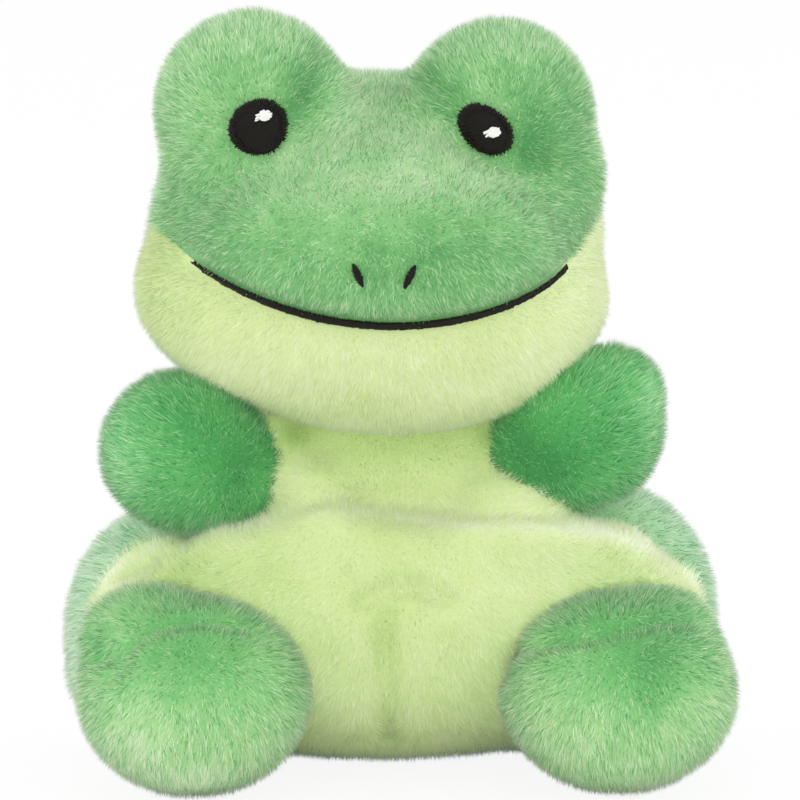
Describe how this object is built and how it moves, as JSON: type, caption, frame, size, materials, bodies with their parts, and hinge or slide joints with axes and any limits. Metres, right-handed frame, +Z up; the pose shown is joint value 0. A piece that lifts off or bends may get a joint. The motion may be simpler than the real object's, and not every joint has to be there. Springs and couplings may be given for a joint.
{
  "type": "plush frog",
  "caption": "Seated palm-size plush frog with round eye mounds, a wide stitched smile, stubby arms and round feet; it rests on its pellet-filled seat and soles.",
  "frame": {"origin": "on the ground, under the middle of the toy's box", "axes": "+Z up, the frog faces -Y and its left side is +X"},
  "size_m": [0.111, 0.0882, 0.1293],
  "materials": {
    "head_green": "short plush pile, mottled mid green with lighter tips",
    "arm_green": "short plush pile, saturated green with lighter tips",
    "foot_green": "short plush pile, green above and lighter in front",
    "pale_plush": "short plush pile, pale yellow-green",
    "mint_plush": "short plush pile, bluish mint",
    "black_thread": "satin-stitched embroidery thread",
    "white_thread": "satin-stitched embroidery thread",
    "stuffing": "polyester fibre filling",
    "pellets": "small plastic pellets"
  },
  "bodies": {
    "torso": {"belly_panel": "pale_plush", "back_panel": "mint_plush", "body_stuffing": "stuffing", "seat_pellets": "pellets"},
    "neck": {"neck_stuffing": "stuffing"},
    "head": {"head_crown": "head_green", "head_chin": "pale_plush", "head_back": "mint_plush", "head_stuffing": "stuffing", "eye_left": "black_thread", "eye_right": "black_thread", "glint_left": "white_thread", "glint_right": "white_thread", "nostril_left": "black_thread", "nostril_right": "black_thread", "mouth": "black_thread"},
    "arm_left": {"arm_left": "arm_green", "arm_left_stuffing": "stuffing"},
    "arm_right": {"arm_right": "arm_green", "arm_right_stuffing": "stuffing"},
    "foot_left": {"foot_left": "foot_green", "foot_left_pellets": "pellets"},
    "foot_right": {"foot_right": "foot_green", "foot_right_pellets": "pellets"}
  },
  "joints": [
    {"name": "head_nod", "type": "hinge", "parent": "torso", "child": "neck", "pos_m": [-0.0047, 0.00539, 0.064], "axis": [1, 0, 0], "range_deg": [-12, 4], "stiffness_Nm_per_rad": 0.15},
    {"name": "head_turn", "type": "hinge", "parent": "neck", "child": "head", "pos_m": [-0.0047, 0.00539, 0.064], "axis": [0, 0, 1], "range_deg": [-20, 20], "stiffness_Nm_per_rad": 0.05},
    {"name": "arm_left_swing", "type": "hinge", "parent": "torso", "child": "arm_left", "pos_m": [0.019, -0.00261, 0.052], "axis": [0, 0, -1], "range_deg": [-8, 30], "stiffness_Nm_per_rad": 0.01},
    {"name": "arm_right_swing", "type": "hinge", "parent": "torso", "child": "arm_right", "pos_m": [-0.023, -0.00261, 0.052], "axis": [0, 0, 1], "range_deg": [-8, 30], "stiffness_Nm_per_rad": 0.01},
    {"name": "foot_left_lift", "type": "hinge", "parent": "torso", "child": "foot_left", "pos_m": [0.034, -0.0086, 0.0166], "axis": [-1, 0, 0], "range_deg": [-20, 15], "stiffness_Nm_per_rad": 0.02},
    {"name": "foot_right_lift", "type": "hinge", "parent": "torso", "child": "foot_right", "pos_m": [-0.034, -0.0086, 0.0166], "axis": [-1, 0, 0], "range_deg": [-20, 15], "stiffness_Nm_per_rad": 0.02}
  ]
}
